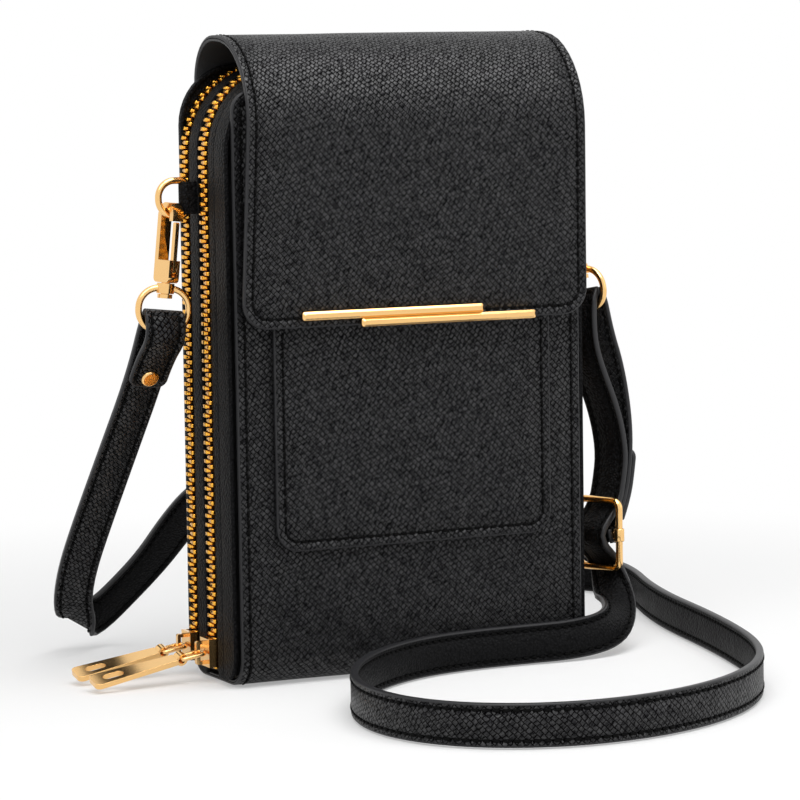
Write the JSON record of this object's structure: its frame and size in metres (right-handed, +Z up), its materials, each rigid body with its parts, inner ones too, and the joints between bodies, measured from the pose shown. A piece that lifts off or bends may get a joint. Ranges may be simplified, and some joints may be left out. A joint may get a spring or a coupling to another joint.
{
  "type": "phone pouch",
  "caption": "Upright leather phone pouch: flap over a front pocket, zipped side compartments, snap hooks on D-rings and a buckled cross-body strap.",
  "frame": {"origin": "middle of the base on the floor", "axes": "+X to the right seen from the front, +Y to the back, +Z up"},
  "size_m": [0.2189, 0.2488, 0.19],
  "materials": {
    "embossed_leather": "cross-grain embossed coat",
    "gusset_leather": "fine-grain coat",
    "lining": "woven lining",
    "zip_tape": "woven tape",
    "gold_metal": "polished pale gold plating",
    "steel": "plain",
    "board": "plain board"
  },
  "bodies": {
    "pouch": {"base_board": "board", "buckle_bar": "gold_metal", "buckle_frame": "gold_metal", "card_pocket": "embossed_leather", "centre_divider": "lining", "centre_gusset_band": "gusset_leather", "front_gusset_band": "gusset_leather", "front_zip_tape": "zip_tape", "front_zip_teeth": "gold_metal", "left_phone_gusset": "gusset_leather", "left_ring_tab": "embossed_leather", "left_swivel_ring": "gold_metal", "panel_magnet": "steel", "phone_divider": "lining", "rear_zip_tape": "zip_tape", "rear_zip_teeth": "gold_metal", "right_phone_gusset": "gusset_leather", "right_ring_tab": "embossed_leather", "right_swivel_ring": "gold_metal", "strap": "embossed_leather", "strap_end_patch": "embossed_leather", "strap_rivet": "gold_metal", "strap_tail": "embossed_leather", "wrap_panel": "embossed_leather"},
    "left_d_ring": {"left_d_ring": "gold_metal"},
    "left_hook": {"left_hook": "gold_metal", "left_gate_pin": "gold_metal", "left_gate_spring": "steel", "left_swivel_post": "gold_metal"},
    "left_hook_gate": {"left_hook_gate": "gold_metal"},
    "right_d_ring": {"right_d_ring": "gold_metal"},
    "right_hook": {"right_hook": "gold_metal", "right_gate_pin": "gold_metal", "right_gate_spring": "steel", "right_swivel_post": "gold_metal"},
    "right_hook_gate": {"right_hook_gate": "gold_metal"},
    "flap": {"flap_outer": "embossed_leather", "flap_lining": "lining", "flap_magnet": "steel", "upper_bar": "gold_metal", "lower_bar": "gold_metal"},
    "front_slider": {"front_zip_slider": "gold_metal"},
    "front_link": {"front_pull_link": "gold_metal"},
    "front_pull": {"front_pull_tab": "gold_metal"},
    "rear_slider": {"rear_zip_slider": "gold_metal"},
    "rear_link": {"rear_pull_link": "gold_metal"},
    "rear_pull": {"rear_pull_tab": "gold_metal"}
  },
  "joints": [
    {"name": "flap_fold", "type": "hinge", "parent": "pouch", "child": "flap", "pos_m": [0, 0.0195, 0.17215], "axis": [-1, 0, 0], "range_deg": [0, 150]},
    {"name": "front_zip", "type": "slide", "parent": "pouch", "child": "front_slider", "axis": [0, 0, 1], "range_m": [0, 0.055]},
    {"name": "front_link_swing", "type": "hinge", "parent": "front_slider", "child": "front_link", "pos_m": [-0.0614, -0.0013, 0.0088], "axis": [0, 1, 0], "range_deg": [0, 60]},
    {"name": "front_pull_swing", "type": "hinge", "parent": "front_link", "child": "front_pull", "pos_m": [-0.06829, -0.0013, 0.00758], "axis": [0, 1, 0], "range_deg": [0, 40]},
    {"name": "rear_zip", "type": "slide", "parent": "pouch", "child": "rear_slider", "axis": [0, 0, 1], "range_m": [0, 0.035]},
    {"name": "rear_link_swing", "type": "hinge", "parent": "rear_slider", "child": "rear_link", "pos_m": [-0.0614, 0.0135, 0.0088], "axis": [0, 1, 0], "range_deg": [0, 60]},
    {"name": "rear_pull_swing", "type": "hinge", "parent": "rear_link", "child": "rear_pull", "pos_m": [-0.06829, 0.0135, 0.00758], "axis": [0, 1, 0], "range_deg": [0, 40]},
    {"name": "left_ring_swing", "type": "hinge", "parent": "pouch", "child": "left_d_ring", "pos_m": [-0.0605, 0.0061, 0.1426], "axis": [0, 0, 1], "range_deg": [-3, 8]},
    {"name": "left_hook_swivel", "type": "hinge", "parent": "pouch", "child": "left_hook", "pos_m": [-0.0653, 0.0061, 0.13745], "axis": [0.1045, 0, 0.9945], "range_deg": [-7, 7]},
    {"name": "left_gate_hinge", "type": "hinge", "parent": "left_hook", "child": "left_hook_gate", "pos_m": [-0.06644, 0.00315, 0.12163], "axis": [-0.9794, -0.1736, 0.1029], "range_deg": [0, 18], "stiffness_Nm_per_rad": 0.004, "springref_deg": -20.05},
    {"name": "right_ring_swing", "type": "hinge", "parent": "pouch", "child": "right_d_ring", "pos_m": [0.0605, 0.0061, 0.1426], "axis": [0, 0, 1], "range_deg": [-6, 6]},
    {"name": "right_hook_swivel", "type": "hinge", "parent": "pouch", "child": "right_hook", "pos_m": [0.06443, 0.00335, 0.13745], "axis": [-0.1349, 0.1349, 0.9816], "range_deg": [-10, 10]},
    {"name": "right_gate_hinge", "type": "hinge", "parent": "right_hook", "child": "right_hook_gate", "pos_m": [0.06484, -0.00124, 0.12199], "axis": [-0.8064, 0.5608, -0.1879], "range_deg": [0, 18], "stiffness_Nm_per_rad": 0.004, "springref_deg": -20.05}
  ]
}
